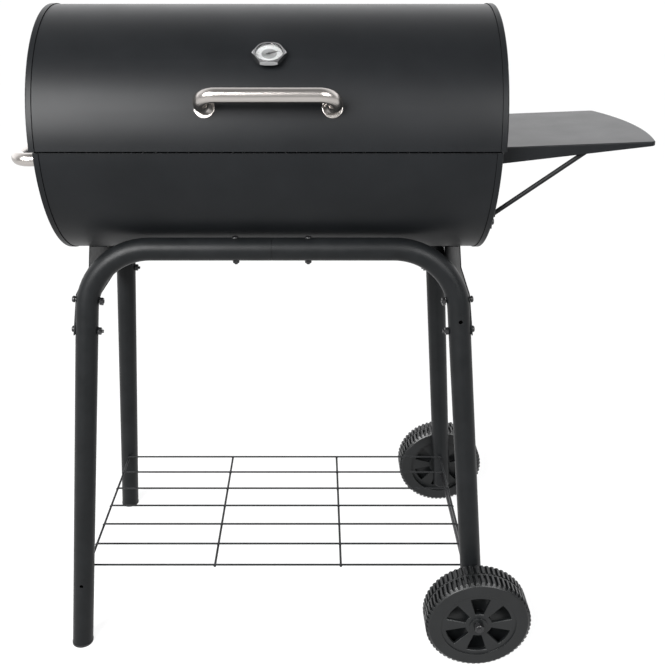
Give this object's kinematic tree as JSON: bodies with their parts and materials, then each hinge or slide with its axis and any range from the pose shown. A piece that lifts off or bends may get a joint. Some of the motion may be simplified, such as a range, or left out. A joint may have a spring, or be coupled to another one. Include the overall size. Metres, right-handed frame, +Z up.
{
  "type": "barrel charcoal grill",
  "caption": "Barrel charcoal grill with hinged lid, side shelf, bent-tube stand, wire bottom shelf and wheels on one side.",
  "frame": {"origin": "on the floor under the middle of the whole outline", "axes": "+Z up, -Y towards the user at the lid handle, +X along the barrel towards the side shelf and wheels"},
  "size_m": [1.1069, 0.64, 1.1962],
  "materials": {
    "enamel_black": "satin black heat-proof paint",
    "frame_black": "satin black powder coat",
    "wire_black": "black painted wire",
    "stainless": "brushed",
    "wheel_plastic": "matte moulded",
    "foot_plastic": "matte moulded",
    "fastener_black": "black plated",
    "fastener_zinc": "zinc plated",
    "gauge_metal": "brushed",
    "gauge_glass": "clear",
    "gauge_dial": "white print",
    "gauge_needle": "red paint",
    "grate_steel": "porcelain coated wire"
  },
  "bodies": {
    "stand": {"axle": "fastener_black", "axle_nuts": "fastener_black", "axle_washers": "fastener_black", "bottom_shelf": "wire_black", "charcoal_grate": "grate_steel", "firebox_end_left": "enamel_black", "firebox_end_right": "enamel_black", "firebox_shell": "enamel_black", "foot_front_left": "foot_plastic", "foot_rear_left": "foot_plastic", "grate_ledges": "enamel_black", "hinge_body_leaf_left": "enamel_black", "hinge_body_leaf_right": "enamel_black", "hinge_body_rivets": "fastener_black", "hinge_pin_left": "fastener_zinc", "hinge_pin_right": "fastener_zinc", "intake_damper_rivet": "fastener_black", "leg_end_caps": "foot_plastic", "leg_front_left": "frame_black", "leg_front_right": "frame_black", "leg_rear_left": "frame_black", "leg_rear_right": "frame_black", "plate_bolts": "fastener_black", "plate_nuts": "fastener_black", "rail_bolts": "fastener_black", "rail_joiner_front": "frame_black", "rail_joiner_rear": "frame_black", "saddle_bolts": "fastener_black", "shelf_bolts": "fastener_black", "shelf_brace_front": "frame_black", "shelf_brace_rear": "frame_black", "side_handle": "stainless", "side_handle_screws": "fastener_zinc", "side_handle_washers": "stainless", "side_plate_left": "frame_black", "side_plate_right": "frame_black", "side_shelf": "enamel_black", "small_nuts": "fastener_black"},
    "lid": {"exhaust_damper_rivet": "fastener_black", "hinge_lid_leaf_left": "enamel_black", "hinge_lid_leaf_right": "enamel_black", "hinge_lid_rivets": "fastener_black", "lid_end_left": "enamel_black", "lid_end_right": "enamel_black", "lid_handle": "stainless", "lid_handle_screws": "fastener_zinc", "lid_handle_washers": "stainless", "lid_shell": "enamel_black", "thermometer_dial": "gauge_dial", "thermometer_glass": "gauge_glass", "thermometer_housing": "gauge_metal", "thermometer_nut": "fastener_zinc", "thermometer_stem": "fastener_zinc"},
    "thermometer_needle_body": {"thermometer_needle": "gauge_needle"},
    "front_wheel": {"wheel_front": "wheel_plastic"},
    "rear_wheel": {"wheel_rear": "wheel_plastic"},
    "intake_damper_body": {"intake_damper": "enamel_black"},
    "exhaust_damper_body": {"exhaust_damper": "enamel_black"},
    "left_grate": {"cooking_grate_left": "grate_steel"},
    "right_grate": {"cooking_grate_right": "grate_steel"}
  },
  "joints": [
    {"name": "lid_hinge", "type": "hinge", "parent": "stand", "child": "lid", "pos_m": [-0.09895, 0.222, 0.987], "axis": [-1, 0, 0], "range_deg": [0, 95]},
    {"name": "front_wheel_spin", "type": "hinge", "parent": "stand", "child": "front_wheel", "pos_m": [0.28858, -0.276, 0.101], "axis": [0, 1, 0], "continuous": true},
    {"name": "rear_wheel_spin", "type": "hinge", "parent": "stand", "child": "rear_wheel", "pos_m": [0.28858, 0.276, 0.101], "axis": [0, 1, 0], "continuous": true},
    {"name": "intake_damper_turn", "type": "hinge", "parent": "stand", "child": "intake_damper_body", "pos_m": [-0.47595, 0, 0.862], "axis": [-1, 0, 0], "range_deg": [0, 45]},
    {"name": "exhaust_damper_turn", "type": "hinge", "parent": "lid", "child": "exhaust_damper_body", "pos_m": [0.28205, 0, 1.105], "axis": [1, 0, 0], "range_deg": [0, 45]},
    {"name": "thermometer_needle_turn", "type": "hinge", "parent": "lid", "child": "thermometer_needle_body", "pos_m": [-0.09595, -0.16271, 1.12873], "axis": [0, 0.5299, -0.848], "range_deg": [-200, 60]},
    {"name": "left_grate_lift", "type": "slide", "parent": "stand", "child": "left_grate", "axis": [0, 0, 1], "range_m": [0, 0.06]},
    {"name": "right_grate_lift", "type": "slide", "parent": "stand", "child": "right_grate", "axis": [0, 0, 1], "range_m": [0, 0.06]}
  ]
}
